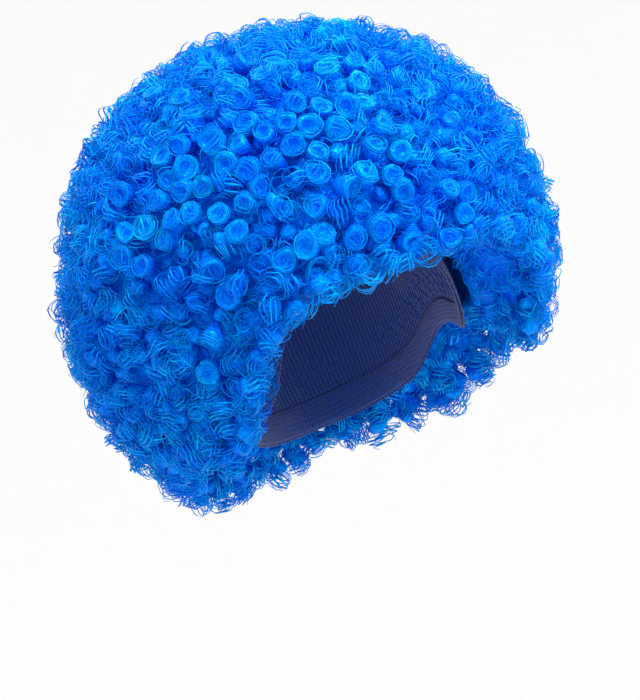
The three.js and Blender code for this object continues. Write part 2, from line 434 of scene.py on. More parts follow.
def hair_reach(azimuth, share):
    """How far the hair stands out from the ball's middle."""
    a = (azimuth % 360) / REACH_STEP
    s = min(max(share, 0), 1) * REACH_LEVELS
    a0, s0 = int(a) % len(sample_azimuths), min(int(s), REACH_LEVELS - 1)
    a1 = (a0 + 1) % len(sample_azimuths)
    fa, fs = a - int(a), s - s0
    upper = reach[s0, a0] * (1 - fa) + reach[s0, a1] * fa
    lower = reach[s0 + 1, a0] * (1 - fa) + reach[s0 + 1, a1] * fa
    return float(upper * (1 - fs) + lower * fs)


def cap_outside(azimuth, share):
    """How far the outside of the cap is from the ball's middle."""
    way = Vector(direction(azimuth, min(share, ON_CAP) * float(edge_polar(azimuth))))
    _, _, _, distance = cap_tree.ray_cast(BALL_MIDDLE + way * BEYOND_CAP, -way)
    return BEYOND_CAP - distance


def hair_skin(name, inset, tuck, inner_gap=None):
    """The form of the hair as a skin: down the ball, round its lower edge and back to the cap's edge.
    inset is how far inside the locks' ends it lies, and tuck how many degrees short of the cap's edge
    it ends, for the curls' own width. With inner_gap it closes along the cap."""
    rings = [(level / SKIN_LEVELS, 1.0) for level in range(1, SKIN_LEVELS + 1)]
    rings += [(1.0, 1 - level / RIM_LEVELS) for level in range(1, RIM_LEVELS + 1)]
    if inner_gap is not None:
        rings += [(level / SKIN_LEVELS, 0.0) for level in range(SKIN_LEVELS - 1, 0, -1)]

    def place(azimuth, share, out):
        near_cap = cap_outside(azimuth, share) + (inner_gap or CURLS_OFF_CAP)
        far = hair_reach(azimuth, share) - inset
        way = direction(azimuth, share * (float(edge_polar(azimuth)) - tuck))
        return BALL_MIDDLE + Vector(way) * (near_cap + (far - near_cap) * out)

    points, shares = [place(0, 0, 1.0)], [0.0]
    for share, out in rings:
        for station in range(SKIN_STATIONS):
            points.append(place(360 * station / SKIN_STATIONS, share, out))
            shares.append(share + (1 - out))
    faces = [(0, 1 + i, 1 + (i + 1) % SKIN_STATIONS) for i in range(SKIN_STATIONS)]
    for ring in range(len(rings) - 1):
        a, b = 1 + ring * SKIN_STATIONS, 1 + (ring + 1) * SKIN_STATIONS
        for i in range(SKIN_STATIONS):
            j = (i + 1) % SKIN_STATIONS
            faces.append((a + i, b + i, b + j, a + j))
    if inner_gap is not None:
        last = 1 + (len(rings) - 1) * SKIN_STATIONS
        points.append(place(0, 0, 0.0))
        shares.append(2.0)
        top = len(points) - 1
        faces += [(last + (i + 1) % SKIN_STATIONS, last + i, top) for i in range(SKIN_STATIONS)]
    skin = object_of(name, points, faces)
    mark = skin.data.attributes.new("share", "FLOAT", "POINT")
    mark.data.foreach_set("value", shares)
    shape = bmesh.new()
    shape.from_mesh(skin.data)
    bmesh.ops.recalc_face_normals(shape, faces=shape.faces)
    shape.to_mesh(skin.data)
    shape.free()
    skin.data.shade_smooth()
    return skin


# The ringlets: bunches of the weft's synthetic fibre, each set in a curl whose end stands out.
# A neat one is wound close: a cup-shaped body, with strands coiled round its rim and in its mouth.
# A ruffled one has sprung open: a slim, domed body in the shade of loose springs of strands.
CURL_RADIUS = 8.0 * MM
CURL_LENGTH = 17.0  # mm, from its mouth to its root
ROOT_HEIGHT = -18.0  # mm
OVAL = 0.07
SLANT = 0.9 * MM  # of the end of a curl
WAVY = 8 * MM  # how far up or down a point strays, times the body's unevenness
NEAT_PROFILE = [
    # radius as a share of the curl's, height in mm from its mouth, and how light it is painted, from painted
    # shade at 0 to lit at 1
    (0.45, -15.0, 0.1),
    (0.7, -10.0, 0.2),
    (0.86, -5.2, 0.4),
    (0.84, -2.4, 0.65),
    (0.62, -1.9, 0.6),
    (0.4, -3.6, 0.25),
]
# the middle of the mouth: its height in mm and its painted light, a painted shade in the bowl
NEAT_MOUTH = (-4.8, 0.1)
RUFFLED_PROFILE = [
    (0.42, -16.0, 0.3),
    (0.66, -13.8, 0.4),
    (0.72, -11.2, 0.45),
    (0.58, -8.8, 0.52),
    (0.32, -7.6, 0.52),
]
RUFFLED_MOUTH = (-7.4, 0.52)
NEAT_SIDES = 9
RUFFLED_SIDES = 7


def curl_body(name, seed, profile, mouth, sides, unevenness, ruffled):
    """One kind of ringlet's body: a leaning, uneven cup or dome, closed at its root and its top.
    ruffled says how tangled its fibre lies, which in the middle of its end is always tangled."""
    chance = np.random.default_rng(seed)
    reach = chance.uniform(0.92, 1.06)
    lean = chance.uniform(-1.5, 1.5, 2) * MM
    dent = chance.uniform(0, 2 * math.pi)
    points, lay, deep = [], [], []
    # Each ring carries its painted light from the profile: painted shade towards the root, which is painted
    # darkest.
    for level, (radius, height, light) in enumerate(profile):
        down = -height / CURL_LENGTH
        for side in range(sides):
            turn = 2 * math.pi * (side + 0.5 * (level % 2)) / sides
            uneven = 1 + OVAL * math.cos(2 * turn - dent) + chance.uniform(-unevenness, unevenness)
            out = radius * CURL_RADIUS * reach * uneven
            slope = SLANT * math.cos(turn - dent) * (1 - down)
            bump = chance.uniform(-unevenness, unevenness) * WAVY
            points.append(
                (
                    out * math.cos(turn) - lean[0] * down,
                    out * math.sin(turn) - lean[1] * down,
                    height * MM + slope + bump,
                )
            )
            lay.append((math.cos(turn), math.sin(turn), level / len(profile)))
            deep.append(light)
    for level, height, light in ((0, ROOT_HEIGHT, 0.0), (len(profile), *mouth)):
        down = -height / CURL_LENGTH
        points.append((-lean[0] * down, -lean[1] * down, height * MM))
        lay.append((0, 0, level / len(profile)))
        deep.append(light)
    root, top = len(points) - 2, len(points) - 1
    faces = []
    for level in range(len(profile) - 1):
        for side in range(sides):
            after = (side + 1) % sides
            a, b = level * sides, (level + 1) * sides
            faces.append((a + side, a + after, b + after, b + side))
    last = (len(profile) - 1) * sides
    faces += [(root, (s + 1) % sides, s) for s in range(sides)]
    faces += [(top, last + s, last + (s + 1) % sides) for s in range(sides)]
    mesh = bpy.data.meshes.new(name)
    mesh.from_pydata(points, [], faces)
    mesh.attributes.new("lay", "FLOAT_VECTOR", "POINT").data.foreach_set("vector", np.ravel(lay))
    mesh.attributes.new("deep", "FLOAT", "POINT").data.foreach_set("value", deep)
    tangled = [ruffled] * last + [1.0] * (len(points) - last)
    mesh.attributes.new("ruffled", "FLOAT", "POINT").data.foreach_set("value", tangled)
    mesh.shade_smooth()
    return bpy.data.objects.new(name, mesh)


def strand_tree():
    """Winds one thick strand in a spiral that strays a little, with tapered ends."""
    tree, given, result = tree_of(
        "strand",
        {
            "Turns": ("Float", 1.3),
            "Start radius": ("Float", 7.8 * MM),
            "End radius": ("Float", 7.8 * MM),
            "Height": ("Float", 1.5 * MM),
            "Lift": ("Float", 0.0),
            "Stray": ("Float", 1.0 * MM),
            "Out": ("Float", 0.75 * MM),
            "Up": ("Float", 0.75 * MM),
            "Steps": ("Int", 9),
            "Light at start": ("Float", 1.0),
            "Light at end": ("Float", 1.0),
            "Seed": ("Int", 0),
        },
    )
    g = given.outputs
    spiral = add(
        tree,
        "GeometryNodeCurveSpiral",
        {
            "Resolution": g["Steps"],
            "Rotations": g["Turns"],
            "Start Radius": g["Start radius"],
            "End Radius": g["End radius"],
            "Height": g["Height"],
        },
    )
    place = add(tree, "GeometryNodeInputPosition", {}).outputs[0]
    drift = add(
        tree,
        "ShaderNodeTexNoise",
        {"Vector": place, "W": g["Seed"], "Scale": 60.0, "Detail": 0.5},
        noise_dimensions="4D",
    )
    centred = add(
        tree, "ShaderNodeVectorMath", {0: drift.outputs["Color"], 1: (0.5, 0.5, 0.5)}, operation="SUBTRACT"
    )
    amount = add(tree, "ShaderNodeMath", {0: g["Stray"], 1: 4.0}, operation="MULTIPLY")
    stray = add(
        tree, "ShaderNodeVectorMath", {0: centred.outputs[0], "Scale": amount.outputs[0]}, operation="SCALE"
    )
    level = add(tree, "ShaderNodeCombineXYZ", {"Z": g["Lift"]})
    lift = add(tree, "ShaderNodeVectorMath", {0: stray.outputs[0], 1: level.outputs[0]}, operation="ADD")
    laid = add(
        tree, "GeometryNodeSetPosition", {"Geometry": spiral.outputs[0], "Offset": lift.outputs[0]}
    )
    along = add(tree, "GeometryNodeSplineParameter", {}).outputs["Factor"]
    marked = kept_as(tree, laid.outputs[0], "along", "FLOAT", along)
    upright = add(tree, "GeometryNodeSetCurveNormal", {"Curve": marked}, mode="Z_UP")
    off = add(tree, "ShaderNodeMath", {0: along, 1: -0.5}, operation="ADD")
    square = add(tree, "ShaderNodeMath", {0: off.outputs[0], 1: off.outputs[0]}, operation="MULTIPLY")
    fourth = add(tree, "ShaderNodeMath", {0: square.outputs[0], 1: square.outputs[0]}, operation="MULTIPLY")
    taper = add(tree, "ShaderNodeMath", {0: fourth.outputs[0], 1: -11.0, 2: 1.0}, operation="MULTIPLY_ADD")
    circle = add(tree, "GeometryNodeCurvePrimitiveCircle", {"Resolution": 3, "Radius": 0.5})
    size = add(tree, "ShaderNodeCombineXYZ", {"X": g["Out"], "Y": g["Up"], "Z": 1.0})
    section = add(tree, "GeometryNodeTransform", {"Geometry": circle.outputs[0], "Scale": size.outputs[0]})
    sides = add(tree, "ShaderNodeVectorMath", {0: place, 1: (1, 1, 0)}, operation="DOT_PRODUCT")
    crossed = kept_as(tree, section.outputs[0], "across", "FLOAT", sides.outputs["Value"])
    swept = add(
        tree,
        "GeometryNodeCurveToMesh",
        {
            "Curve": upright.outputs[0],
            "Profile Curve": crossed,
            "Scale": taper.outputs[0],
            "Fill Caps": True,
        },
    )
    run = add(tree, "GeometryNodeInputNamedAttribute", {"Name": "along"}, data_type="FLOAT").outputs[0]
    side = add(tree, "GeometryNodeInputNamedAttribute", {"Name": "across"}, data_type="FLOAT").outputs[0]
    # Painted shade along the strand, from Light at start to Light at end, kept for the fibre's colour.
    light = add(tree, "ShaderNodeMapRange", {"Value": run, 3: g["Light at start"], 4: g["Light at end"]})
    lit = kept_as(tree, swept.outputs[0], "deep", "FLOAT", light.outputs[0])
    length = add(tree, "ShaderNodeMath", {0: run, 1: 3.0, 2: g["Seed"]}, operation="MULTIPLY_ADD")
    breadth = add(tree, "ShaderNodeMath", {0: side, 1: 60.0}, operation="MULTIPLY")
    fibre = add(tree, "ShaderNodeCombineXYZ", {"X": length.outputs[0], "Z": breadth.outputs[0]})
    lain = kept_as(tree, lit, "lay", "FLOAT_VECTOR", fibre.outputs[0])
    smooth = add(tree, "GeometryNodeSetShadeSmooth", {"Geometry": lain})
    real = add(tree, "GeometryNodeRealizeInstances", {"Geometry": smooth.outputs[0]})
    tree.links.new(real.outputs[0], result.inputs[0])
    return tree


strand = strand_tree()


def family(name, kinds):
    """A collection of kinds of one shape, none of it in the scene."""
    members = bpy.data.collections.new(name)
    for kind in kinds:
        members.objects.link(kind)
    return members


def strands(name, seed, count, turns, start, end, height, lift, stray, section, steps, light):
    """Some kinds of strand, each wound from its own draw out of the ranges given. Start and end are
    radii as shares of the curl's, height, lift, stray and section in mm, light how light each end is
    painted, from painted shade at 0 to lit at 1."""
    chance = np.random.default_rng(seed)
    made = []
    for number in range(count):
        part = object_of(f"{name}_{number}", [(0, 0, 0)])
        part = run_tree(
            part,
            strand,
            Turns=chance.uniform(*turns),
            Start_radius=chance.uniform(*start) * CURL_RADIUS,
            End_radius=chance.uniform(*end) * CURL_RADIUS,
            Height=chance.uniform(*height) * MM,
            Lift=chance.uniform(*lift) * MM,
            Stray=stray * MM,
            Out=section[0] * MM,
            Up=section[1] * MM,
            Steps=steps,
            Light_at_start=light[0],
            Light_at_end=light[1],
            Seed=seed * 10 + number,
        )
        bpy.context.scene.collection.objects.unlink(part)
        made.append(part)
    return family(name, made)


def bodies(name, first_seed, *form):
    """Six kinds of one sort of body."""
    return family(f"{name} curls", [curl_body(f"{name}_{k}", first_seed + k, *form) for k in range(6)])


neat_bodies = bodies("neat", 1, NEAT_PROFILE, NEAT_MOUTH, NEAT_SIDES, 0.03, 0.0)
ruffled_bodies = bodies("ruffled", 61, RUFFLED_PROFILE, RUFFLED_MOUTH, RUFFLED_SIDES, 0.08, 1.0)
coils = strands(
    "coil",
    seed=11,
    count=8,
    turns=(3, 3.8),
    start=(0.94, 1.0),
    end=(0.72, 0.84),
    height=(4.5, 6),
    lift=(-5.6, -5),
    stray=0.4,
    section=(0.7, 0.8),
    steps=12,
    light=(0.75, 1),
)
mouths = strands(
    "mouth",
    seed=23,
    count=6,
    turns=(1.3, 1.8),
    start=(0.6, 0.7),
    end=(0.2, 0.36),
    height=(-1.6, -0.8),
    lift=(-1.5, -0.8),
    stray=0.5,
    section=(0.6, 0.5),
    steps=10,
    light=(0.9, 0.6),
)
springs = strands(
    "spring",
    seed=41,
    count=14,
    turns=(2.3, 3.3),
    start=(0.55, 0.95),
    end=(0.4, 0.85),
    height=(5.5, 8.5),
    lift=(-4.5, -3),
    stray=0.9,
    section=(0.55, 0.98),
    steps=10,
    light=(0.85, 0.7),
)

# The sewing: the ringlets stand on rows of weft all over the ball, close enough to hide them.
# Each is turned out from the ball, tipped its own way, and a little nearer or further out.
DENSEST = 60000.0  # places tried on a square metre, before those too near another are dropped
NEAT_FROM = 0.7  # how squarely a place faces the neat side where the share of neat ones is as given
NEATER_BY = 1.8  # how much that share grows from there to the middle of the neat side, and past it
FLATTENED = 0.75  # what is taken off a spring's scatter in and out of the ball


def sewn_tree():
    """Sews ringlets to a skin, at least Spacing apart, where its share lies between From and To.
    They are neatest round the middle of the Neat side, and more of them are ruffled away from it."""
    tree, given, result = tree_of(
        "sewn hair",
        {
            "Spacing": ("Float", 12.5 * MM),
            "From": ("Float", 0.0),
            "To": ("Float", 1.0),
            "Tilt": ("Float", 0.5),
            "Droop": ("Float", 0.0),
            "Rise": ("Float", 2.5 * MM),
            "Smallest": ("Float", 0.88),
            "Largest": ("Float", 1.12),
            "Sway": ("Float", 1.5 * MM),
            "Neat side": ("Vector", (0, -1, 0)),
            "Neat share": ("Float", 0.5),
            "Seed": ("Int", 0),
            "Neat bodies": ("Collection", None),
            "Ruffled bodies": ("Collection", None),
            "Coils": ("Collection", None),
            "Mouths": ("Collection", None),
            "Springs": ("Collection", None),
            "Coils each": ("Int", 1),
            "Mouths each": ("Int", 1),
            "Springs each": ("Int", 2),
            "Springs on neat": ("Int", 0),
            "Spring depth": ("Float", 5.2 * MM),
            "Scatter": ("Float", 4.8 * MM),
            "Material": ("Material", None),
        },
    )
    g = given.outputs
    spread = add(
        tree,
        "GeometryNodeDistributePointsOnFaces",
        {"Mesh": g["Geometry"], "Distance Min": g["Spacing"], "Density Max": DENSEST, "Seed": g["Seed"]},
        distribute_method="POISSON",
    )

    def chance(kind, low, high, which):
        """A value drawn for each place; which tells this draw from the others."""
        seed = add(tree, "ShaderNodeMath", {0: g["Seed"], 1: float(which)}, operation="ADD")
        drawn = add(tree, "FunctionNodeRandomValue", {"Seed": seed.outputs[0]}, data_type=kind)
        first = {"FLOAT_VECTOR": 0, "FLOAT": 2, "INT": 4}[kind]
        for offset, bound in enumerate((low, high)):
            socket = drawn.inputs[first + offset]
            if isinstance(bound, bpy.types.NodeSocket):
                tree.links.new(bound, socket)
            else:
                socket.default_value = bound
        return drawn.outputs[{"FLOAT_VECTOR": 0, "FLOAT": 1, "INT": 2}[kind]]

    def sum_of(a, b, operation="ADD"):
        return add(tree, "ShaderNodeMath", {0: a, 1: b}, operation=operation).outputs[0]

    def vectors(a, b, operation="ADD"):
        second = {"Scale": b} if operation == "SCALE" else {1: b}
        made = add(tree, "ShaderNodeVectorMath", {0: a, **second}, operation=operation)
        return made.outputs["Value" if operation == "DOT_PRODUCT" else "Vector"]

    def attribute(name, kind):
        return add(tree, "GeometryNodeInputNamedAttribute", {"Name": name}, data_type=kind).outputs[0]

    def compared(a, b, operation):
        return add(
            tree, "FunctionNodeCompare", {0: a, 1: b}, data_type="FLOAT", operation=operation
        ).outputs[0]

    normal = spread.outputs["Normal"]
    lean = vectors(chance("FLOAT_VECTOR", (-1, -1, -1), (1, 1, 1), 11), g["Tilt"], "SCALE")
    down = vectors((0, 0, -1), g["Droop"], "SCALE")
    way = vectors(vectors(normal, lean), down)
    facing = add(tree, "FunctionNodeAlignRotationToVector", {"Vector": way}, axis="Z")
    toward = sum_of(vectors(normal, g["Neat side"], "DOT_PRODUCT"), 0.0, "ABSOLUTE")
    past = sum_of(sum_of(toward, -NEAT_FROM), NEATER_BY, "MULTIPLY")
    neatness = sum_of(past, g["Neat share"])
    neat = compared(chance("FLOAT", 0.0, 1.0, 16), neatness, "LESS_THAN")
    sown = kept_as(tree, spread.outputs["Points"], "facing", "QUATERNION", facing.outputs[0])
    sown = kept_as(tree, sown, "tone", "FLOAT", chance("FLOAT", 0.0, 1.0, 13))
    sown = kept_as(tree, sown, "swirl", "FLOAT", chance("FLOAT", 0.0, 2 * math.pi, 14))
    sown = kept_as(tree, sown, "girth", "FLOAT", chance("FLOAT", g["Smallest"], g["Largest"], 15))
    sown = kept_as(tree, sown, "neat", "BOOLEAN", neat)
    sown = kept_as(tree, sown, "outward", "FLOAT_VECTOR", vectors(way, way, "NORMALIZE"))
    risen = vectors(normal, sum_of(chance("FLOAT", -1.0, 0.5, 17), g["Rise"], "MULTIPLY"), "SCALE")
    sown = add(tree, "GeometryNodeSetPosition", {"Geometry": sown, "Offset": risen}).outputs[0]
    share = attribute("share", "FLOAT")
    above = compared(share, g["From"], "LESS_THAN")
    below = compared(share, g["To"], "GREATER_EQUAL")
    outside = add(tree, "FunctionNodeBooleanMath", {0: above, 1: below}, operation="OR").outputs[0]
    kept = add(
        tree, "GeometryNodeDeleteGeometry", {"Geometry": sown, "Selection": outside}, domain="POINT"
    ).outputs[0]
    faced = attribute("facing", "QUATERNION")
    girth = attribute("girth", "FLOAT")
    swirl = attribute("swirl", "FLOAT")
    is_neat = attribute("neat", "BOOLEAN")
    is_ruffled = add(tree, "FunctionNodeBooleanMath", {0: is_neat}, operation="NOT").outputs[0]
    joined = tree.nodes.new("GeometryNodeJoinGeometry")

    def turned_by(rotation, axis, angle):
        turn = add(tree, "FunctionNodeAxisAngleToRotation", {"Axis": axis, "Angle": angle})
        return add(
            tree,
            "FunctionNodeRotateRotation",
            {"Rotation": rotation, "Rotate By": turn.outputs[0]},
            rotation_space="LOCAL",
        ).outputs[0]

    outward = attribute("outward", "FLOAT_VECTOR")
    inward = vectors(outward, sum_of(g["Spring depth"], -1.0, "MULTIPLY"), "SCALE")
    sunk = add(tree, "GeometryNodeSetPosition", {"Geometry": kept, "Offset": inward}).outputs[0]

    def sewn_on(kinds, amount, which, tip, where=None, points=kept, spread=math.pi, scatter=None):
        """One family on the ringlets' places: amount of them at each, each tipped its own way, turned
        from the ringlet's own swirl by up to spread, and moved by up to scatter."""
        if amount is not None:
            points = add(
                tree, "GeometryNodeDuplicateElements", {"Geometry": points, "Amount": amount}, domain="POINT"
            ).outputs[0]
        if scatter is not None:
            off = vectors(chance("FLOAT_VECTOR", (-1, -1, -1), (1, 1, 1), which + 3), scatter, "SCALE")
            rise = sum_of(vectors(off, outward, "DOT_PRODUCT"), -FLATTENED, "MULTIPLY")
            off = vectors(off, vectors(outward, rise, "SCALE"))
            points = add(tree, "GeometryNodeSetPosition", {"Geometry": points, "Offset": off}).outputs[0]
        turned = turned_by(faced, (0, 0, 1), sum_of(swirl, chance("FLOAT", -spread, spread, which)))
        if tip:
            turned = turned_by(turned, (1, 0, 0), chance("FLOAT", *tip, which + 1))
        source = add(
            tree,
            "GeometryNodeCollectionInfo",
            {"Collection": kinds, "Separate Children": True, "Reset Children": True},
        )
        inputs = {
            "Points": points,
            "Instance": source.outputs[0],
            "Pick Instance": True,
            "Instance Index": chance("INT", 0, 999, which + 2),
            "Rotation": turned,
            "Scale": girth,
        }
        if where is not None:
            inputs["Selection"] = where
        sewn = add(tree, "GeometryNodeInstanceOnPoints", inputs)
        tree.links.new(sewn.outputs[0], joined.inputs[0])

    sewn_on(g["Neat bodies"], None, 20, None, is_neat)
    sewn_on(g["Ruffled bodies"], None, 25, (-0.3, 0.3), is_ruffled)
    sewn_on(g["Coils"], g["Coils each"], 30, (-0.12, 0.12), is_neat)
    sewn_on(g["Mouths"], g["Mouths each"], 40, (-0.25, 0.25), is_neat)
    sewn_on(g["Springs"], g["Springs on neat"], 60, (0.2, 1.2), is_neat, sunk, 0.8)
    sewn_on(g["Springs"], g["Springs each"], 70, (0.1, 1.5), is_ruffled, sunk, 0.8, g["Scatter"])
    real = add(tree, "GeometryNodeRealizeInstances", {"Geometry": joined.outputs[0]})
    sway = add(
        tree,
        "ShaderNodeTexNoise",
        {
            "Vector": add(tree, "GeometryNodeInputPosition", {}).outputs[0],
            "Scale": 75.0,
            "Detail": 1.0,
        },
        noise_dimensions="3D",
    )
    centred = vectors(sway.outputs["Color"], (0.5, 0.5, 0.5), "SUBTRACT")
    swayed = vectors(centred, sum_of(g["Sway"], 4.0, "MULTIPLY"), "SCALE")
    moved = add(tree, "GeometryNodeSetPosition", {"Geometry": real.outputs[0], "Offset": swayed})
    painted = add(
        tree, "GeometryNodeSetMaterial", {"Geometry": moved.outputs[0], "Material": g["Material"]}
    )
    tree.links.new(painted.outputs[0], result.inputs[0])
    return tree


sewn_hair = sewn_tree()

# The fibre of all the hair: glossy synthetic strands, painted deep blue, a painted shade, towards the
# curls' roots and in the shade of their neighbours, azure where they stand out, and painted pale cyan
# glints where they are brightest. They run round a neat ringlet and lie tangled in a ruffled one.
FOLD = 0.1  # how far the noise runs from one thread to the next
fibre, nodes, links, surface = new_material("curled fibre")


def read(nodes, name, output):
    """What a mesh's attribute says at a point."""
    found = nodes.new("ShaderNodeAttribute")
    found.attribute_name = name
    return found.outputs[output]


def mixed_up(nodes, links, terms, base=0.0):
    """A sum of values, each times its weight."""
    total = None
    for value, weight in terms:
        step = nodes.new("ShaderNodeMath")
        step.operation = "MULTIPLY_ADD"
        links.new(value, step.inputs[0])
        step.inputs[1].default_value = weight
        if total is None:
            step.inputs[2].default_value = base
        else:
            links.new(total, step.inputs[2])
        total = step.outputs[0]
    return total


tone = read(nodes, "tone", "Fac")
deep = read(nodes, "deep", "Fac")
stretch = nodes.new("ShaderNodeMapping")
stretch.inputs["Scale"].default_value = (0.8, 0.8, 4)
links.new(read(nodes, "lay", "Vector"), stretch.inputs["Vector"])
unlike = nodes.new("ShaderNodeVectorMath")
unlike.operation = "MULTIPLY_ADD"
links.new(tone, unlike.inputs[0])
unlike.inputs[1].default_value = (37, 61, 83)  # far apart, so that no two ringlets have the same streaks
links.new(stretch.outputs[0], unlike.inputs[2])
streaks = nodes.new("ShaderNodeTexNoise")
streaks.inputs["Scale"].default_value = 1.0
streaks.inputs["Detail"].default_value = 1.0
streaks.inputs["Roughness"].default_value = 0.6
links.new(unlike.outputs[0], streaks.inputs["Vector"])
coordinates = nodes.new("ShaderNodeTexCoord")
tangle = nodes.new("ShaderNodeTexNoise")
tangle.inputs["Scale"].default_value = 130
tangle.inputs["Detail"].default_value = 1.0
tangle.inputs["Distortion"].default_value = 1.0
links.new(coordinates.outputs["Object"], tangle.inputs["Vector"])
lying = nodes.new("ShaderNodeMix")
links.new(read(nodes, "ruffled", "Fac"), lying.inputs[0])
links.new(streaks.outputs["Fac"], lying.inputs[2])
links.new(tangle.outputs["Fac"], lying.inputs[3])
fold = nodes.new("ShaderNodeMath")
fold.operation = "PINGPONG"
fold.inputs[1].default_value = FOLD
links.new(lying.outputs[0], fold.inputs[0])
threads = nodes.new("ShaderNodeMath")
threads.operation = "MULTIPLY"
threads.inputs[1].default_value = 1 / FOLD
links.new(fold.outputs[0], threads.inputs[0])
patches = nodes.new("ShaderNodeTexNoise")
patches.inputs["Scale"].default_value = 28
links.new(coordinates.outputs["Object"], patches.inputs["Vector"])
# The colour's shade mixes the painted light (painted shade towards roots and in hollows), the thread lines,
# each ringlet's own tone and larger random patches.
shade = mixed_up(
    nodes,
    links,
    [(deep, 0.5), (threads.outputs[0], 0.36), (tone, 0.14), (patches.outputs["Fac"], 0.7)],
    -0.52,
)
shades = nodes.new("ShaderNodeValToRGB")
ramp = shades.color_ramp.elements
ramp[0].position = 0.0
ramp[0].color = (0.0, 0.12, 0.9, 1)
# The ramp's top stop is a painted glint, pale cyan, where painted light and thread lines peak.
ramp[1].position = 1.0
ramp[1].color = (0.1, 0.85, 1.0, 1)
for position, color in (
    (0.3, (0.0, 0.21, 0.93, 1)),
    (0.6, (0.0, 0.37, 0.96, 1)),
    (0.82, (0.0, 0.6, 0.98, 1)),
):
    ramp.new(position).color = color
links.new(shade, shades.inputs["Fac"])
links.new(shades.outputs["Color"], surface.inputs["Base Color"])
bump = nodes.new("ShaderNodeBump")
bump.inputs["Strength"].default_value = 0.7
bump.inputs["Distance"].default_value = 0.5 * MM
links.new(threads.outputs[0], bump.inputs["Height"])
links.new(bump.outputs["Normal"], surface.inputs["Normal"])
surface.inputs["Roughness"].default_value = 0.32
surface.inputs["Specular IOR Level"].default_value = 0.1
surface.inputs["Metallic"].default_value = 0.28
surface.inputs["Specular Tint"].default_value = (0.08, 0.65, 1.0, 1)

# The under hair: the dense inner part of the wefts' hair, where it is sewn on, which shows in the
# shade between the ringlets. It lies close round the cap and stops short of the cap's edge.
UNDER_DEPTH = 24 * MM  # inside the locks' ends
UNDER_OFF_CAP = 1.5 * MM
under = hair_skin("under_hair", UNDER_DEPTH, tuck=9.0, inner_gap=UNDER_OFF_CAP)
# It is painted part way into shade, with its painted light at 0.4, and counts as fully tangled.
for mark, value in (("ruffled", 1.0), ("deep", 0.4)):
    layer = under.data.attributes.new(mark, "FLOAT", "POINT")
    layer.data.foreach_set("value", [value] * len(under.data.vertices))
under.data.materials.append(fibre)
finished(under, "hair")

# Loose frizz: single strands that have sprung out of their ringlets and lie every way between them.
# They fill the gaps and soften the outline.
FRIZZ_DEPTH = 11.0 * MM
FRIZZ_TUCK = 4.5
frizz = strands(
    "frizz",
    seed=53,
    count=9,
    turns=(0.4, 0.75),
    start=(0.4, 0.7),
    end=(0.6, 1.0),
    height=(-3, 3),
    lift=(-1.5, 1.5),
    stray=1.2,
    section=(0.7, 0.7),
    steps=10,
    light=(0.75, 1),
)
FRIZZ_LIE = {
    "Spacing": 10.0 * MM,
    "Tilt": 2.2,
    "Smallest": 0.8,
    "Largest": 1.25,
    "Sway": 2 * MM,
    "Seed": 31,
    "Neat_share": 3.0,
}

# The hair as it is worn: an outer layer of ringlets with all their strands, and a plainer one that
# shows between them. It comes in zones, each for its own rows of weft, and the lower ones droop more.
NEAT_SIDE = Vector(direction(-22, 70))
NEAT_SHARE = 0.15
NONE_NEAT = -5.0
TURNED_IN = 1.3  # the share from which the hair has turned in under the edge, where all is ruffled
LEAST_TUCK = 3.0  # degrees
TUCK_FROM = 5.2 * MM  # the depth at which a layer has that tuck
TUCK_MORE = 450.0  # degrees for each metre deeper
HAIR_LAYERS = [
    # depth inside the locks' ends, spacing, tilt, smallest, largest, seed,
    # coils, mouths and springs of each ringlet, and springs of each neat one
    (3.6 * MM, 13.6 * MM, 0.5, 0.84, 1.16, 7, 1, 1, 3, 1),
    (11.5 * MM, 14.2 * MM, 0.55, 0.85, 1.15, 19, 0, 0, 1, 1),
]
ZONES = [
    # piece, nodes, from share, to share, droop
    ("hair_crown", HAIR_NODES[:3], 0.0, 0.34, 0.0),
    ("hair_high", HAIR_NODES[3:4], 0.34, 0.5, 0.03),
    ("hair_brow", HAIR_NODES[4:5], 0.5, 0.64, 0.08),
    ("hair_middle", HAIR_NODES[5:7], 0.64, 0.77, 0.15),
    ("hair_low", HAIR_NODES[7:8], 0.77, 0.91, 0.25),
    ("hair_edge", HAIR_NODES[8:], 0.91, TURNED_IN, 0.3),
    ("hair_rim", [], TURNED_IN, 3.0, 0.3),
]


def sewn_layer(name, depth, tuck, zone, curls, counts, **lie):
    """One layer of a zone's hair: its neat and ruffled kinds of curl, and how many strands of each
    family they have, sewn to a skin of their own."""
    return run_tree(
        hair_skin(name, depth, tuck),
        sewn_hair,
        From=zone[0],
        To=zone[1],
        Neat_bodies=curls[0],
        Ruffled_bodies=curls[1],
        Coils=coils,
        Mouths=mouths,
        Springs=springs,
        Coils_each=counts[0],
        Mouths_each=counts[1],
        Springs_each=counts[2],
        Springs_on_neat=counts[3],
        Material=fibre,
        **lie,
    )


def joined(name, parts):
    """One piece from several, their attributes kept."""
    target = parts[0]
    with bpy.context.temp_override(
        active_object=target, object=target, selected_objects=parts, selected_editable_objects=parts
    ):
        bpy.ops.object.join()
    target.name = name
    target.data.name = name
    return target


